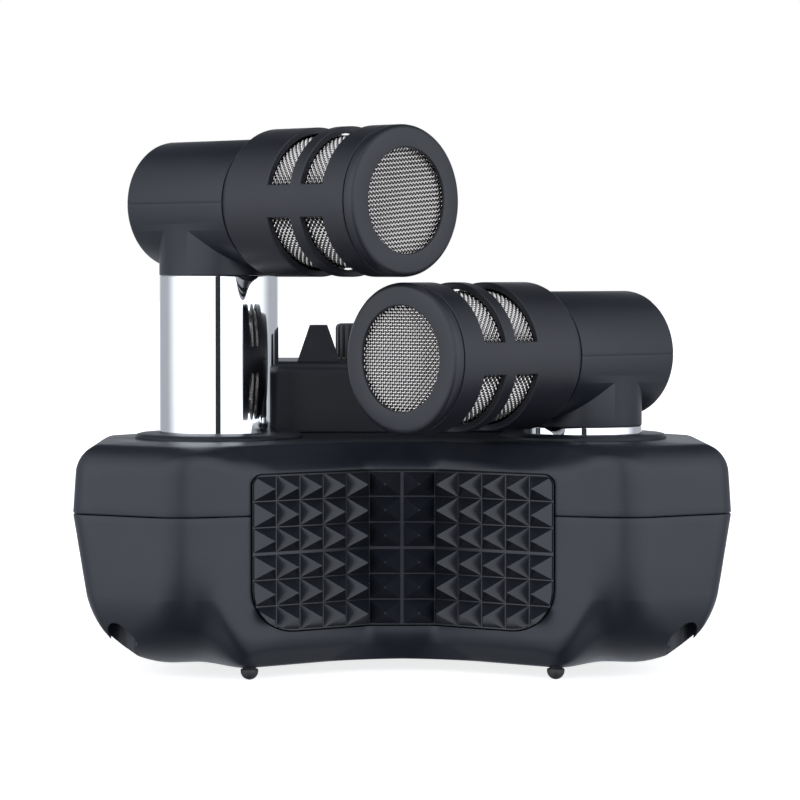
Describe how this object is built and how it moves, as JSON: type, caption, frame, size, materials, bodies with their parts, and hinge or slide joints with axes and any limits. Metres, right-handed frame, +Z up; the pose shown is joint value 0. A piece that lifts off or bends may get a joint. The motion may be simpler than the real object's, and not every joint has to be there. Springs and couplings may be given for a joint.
{
  "type": "handheld stereo voice recorder",
  "caption": "Handheld recorder with a faceted head, two swivelling stereo microphones on posts, a gain knob, keys, a display and a battery bay.",
  "frame": {"origin": "centre of the bounding box's base, on the surface that the feet stand on", "axes": "+Z up, -Y towards the microphone end, +X to the right when looking at the microphone end"},
  "size_m": [0.0888, 0.1544, 0.0743],
  "materials": {
    "shell": "fine grained bluish charcoal",
    "barrel": "satin charcoal",
    "pad": "semi-gloss black",
    "chrome": "mirror",
    "mesh": "woven wire",
    "capsule": "dull",
    "steel": "plated",
    "bushing": "natural acetal",
    "knob": "satin black",
    "component": "moulded black",
    "board": "solder mask",
    "window": "clear tinted",
    "display": "reflective display",
    "key": "satin",
    "record_key": "satin red",
    "cell": "printed sleeve",
    "jack": "moulded black",
    "brass": "machined",
    "foot": "matt"
  },
  "bodies": {
    "recorder": {"head_upper_shell": "shell", "head_lower_shell": "shell", "knob_housing": "shell", "body_upper_shell": "shell", "body_lower_shell": "shell", "diffuser_pad": "pad", "mic_bracket": "steel", "head_screws": "steel", "bracket_screws": "steel", "body_screws": "steel", "left_post": "chrome", "right_post": "chrome", "left_bushing": "bushing", "right_bushing": "bushing", "gain_potentiometer": "component", "head_circuit_board": "board", "main_circuit_board": "board", "head_connector": "component", "key_switches": "component", "display_window": "window", "display_module": "display", "wheel_pin": "steel", "memory_card": "component", "card_holder": "steel", "battery_left": "cell", "battery_right": "cell", "battery_contacts": "steel", "speaker": "component", "headphone_jack": "jack", "line_jack": "jack", "usb_port": "steel", "tripod_insert": "brass", "feet": "foot"},
    "left_mic": {"left_arm": "shell", "left_arm_cover": "shell", "left_spindle": "steel", "left_mic_barrel": "barrel", "left_front_ring": "barrel", "left_face_grille": "mesh", "left_slot_screen": "mesh", "left_capsule": "capsule"},
    "right_mic": {"right_arm": "shell", "right_arm_cover": "shell", "right_spindle": "steel", "right_mic_barrel": "barrel", "right_front_ring": "barrel", "right_face_grille": "mesh", "right_slot_screen": "mesh", "right_capsule": "capsule"},
    "gain_knob": {"gain_knob": "knob"},
    "jog_wheel": {"jog_wheel": "knob"},
    "power_switch": {"power_switch": "key"},
    "battery_door": {"battery_door": "shell"},
    "card_door": {"card_door": "shell"},
    "record_button": {"record_button": "record_key"},
    "stop_button": {"stop_button": "key"},
    "play_button": {"play_button": "key"},
    "rewind_button": {"rewind_button": "key"},
    "forward_button": {"forward_button": "key"},
    "menu_button": {"menu_button": "key"}
  },
  "joints": [
    {"name": "left_mic_swivel", "type": "hinge", "parent": "recorder", "child": "left_mic", "pos_m": [-0.02535, -0.04378, 0.0543], "axis": [0, 0, 1], "range_deg": [-90, 0]},
    {"name": "right_mic_swivel", "type": "hinge", "parent": "recorder", "child": "right_mic", "pos_m": [0.02535, -0.04378, 0.0334], "axis": [0, 0, 1], "range_deg": [0, 90]},
    {"name": "gain_turn", "type": "hinge", "parent": "recorder", "child": "gain_knob", "pos_m": [0, -0.01478, 0.042], "axis": [0, 0, 1], "range_deg": [-140, 140]},
    {"name": "jog_turn", "type": "hinge", "parent": "recorder", "child": "jog_wheel", "pos_m": [0.0275, 0.03922, 0.0256], "axis": [0, 0, 1], "continuous": true},
    {"name": "power_slide", "type": "slide", "parent": "recorder", "child": "power_switch", "axis": [0, 1, 0], "range_m": [0, 0.004]},
    {"name": "battery_door_slide", "type": "slide", "parent": "recorder", "child": "battery_door", "axis": [0, 1, 0], "range_m": [0, 0.008]},
    {"name": "card_door_hinge", "type": "hinge", "parent": "recorder", "child": "card_door", "pos_m": [-0.0325, 0.03522, 0.016], "axis": [0, -1, 0], "range_deg": [0, 100]},
    {"name": "record_button_press", "type": "slide", "parent": "recorder", "child": "record_button", "axis": [0, 0, -1], "range_m": [0, 0.0008], "stiffness_N_per_m": 400, "springref_m": -0.0004},
    {"name": "stop_button_press", "type": "slide", "parent": "recorder", "child": "stop_button", "axis": [0, 0, -1], "range_m": [0, 0.0008], "stiffness_N_per_m": 400, "springref_m": -0.0004},
    {"name": "play_button_press", "type": "slide", "parent": "recorder", "child": "play_button", "axis": [0, 0, -1], "range_m": [0, 0.0008], "stiffness_N_per_m": 400, "springref_m": -0.0004},
    {"name": "rewind_button_press", "type": "slide", "parent": "recorder", "child": "rewind_button", "axis": [0, 0, -1], "range_m": [0, 0.0008], "stiffness_N_per_m": 400, "springref_m": -0.0004},
    {"name": "forward_button_press", "type": "slide", "parent": "recorder", "child": "forward_button", "axis": [0, 0, -1], "range_m": [0, 0.0008], "stiffness_N_per_m": 400, "springref_m": -0.0004},
    {"name": "menu_button_press", "type": "slide", "parent": "recorder", "child": "menu_button", "axis": [0, 0, -1], "range_m": [0, 0.0008], "stiffness_N_per_m": 400, "springref_m": -0.0004}
  ]
}
